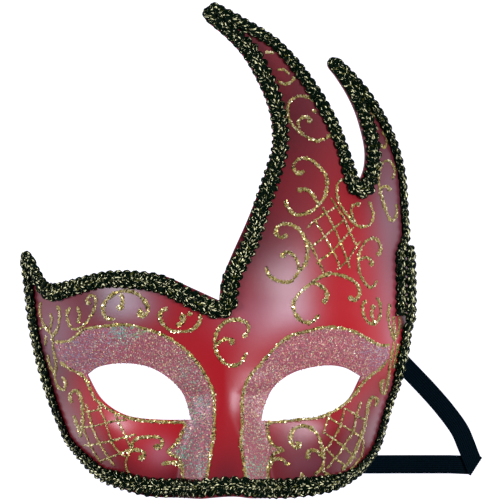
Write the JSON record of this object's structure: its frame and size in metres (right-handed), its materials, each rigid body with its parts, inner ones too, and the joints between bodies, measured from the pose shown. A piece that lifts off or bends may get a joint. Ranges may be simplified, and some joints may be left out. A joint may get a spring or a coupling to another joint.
{
  "type": "masquerade mask",
  "caption": "Carnival half mask: a thin moulded shell with eye holes, a nose ridge and a flame-shaped crest with a side horn, edged in gimp braid, with a flat elastic strap.",
  "frame": {"origin": "middle of the shell and braid in plan, at the height of the surface that the temples rest on", "axes": "+X to the viewer's right with the mask face up and the crest at the top, +Y from the lower edge to the crest's tip, +Z out of the face"},
  "size_m": [0.1997, 0.2124, 0.0682],
  "materials": {
    "red_plastic": "satin gloss red with gold scrolls and pink glitter round the eyes",
    "gimp_braid": "black yarn plaited with gold metallic yarn",
    "black_elastic": "ribbed flat elastic"
  },
  "bodies": {
    "root": {"mask_shell": "red_plastic", "edge_braid": "gimp_braid", "elastic_strap": "black_elastic"}
  },
  "joints": []
}
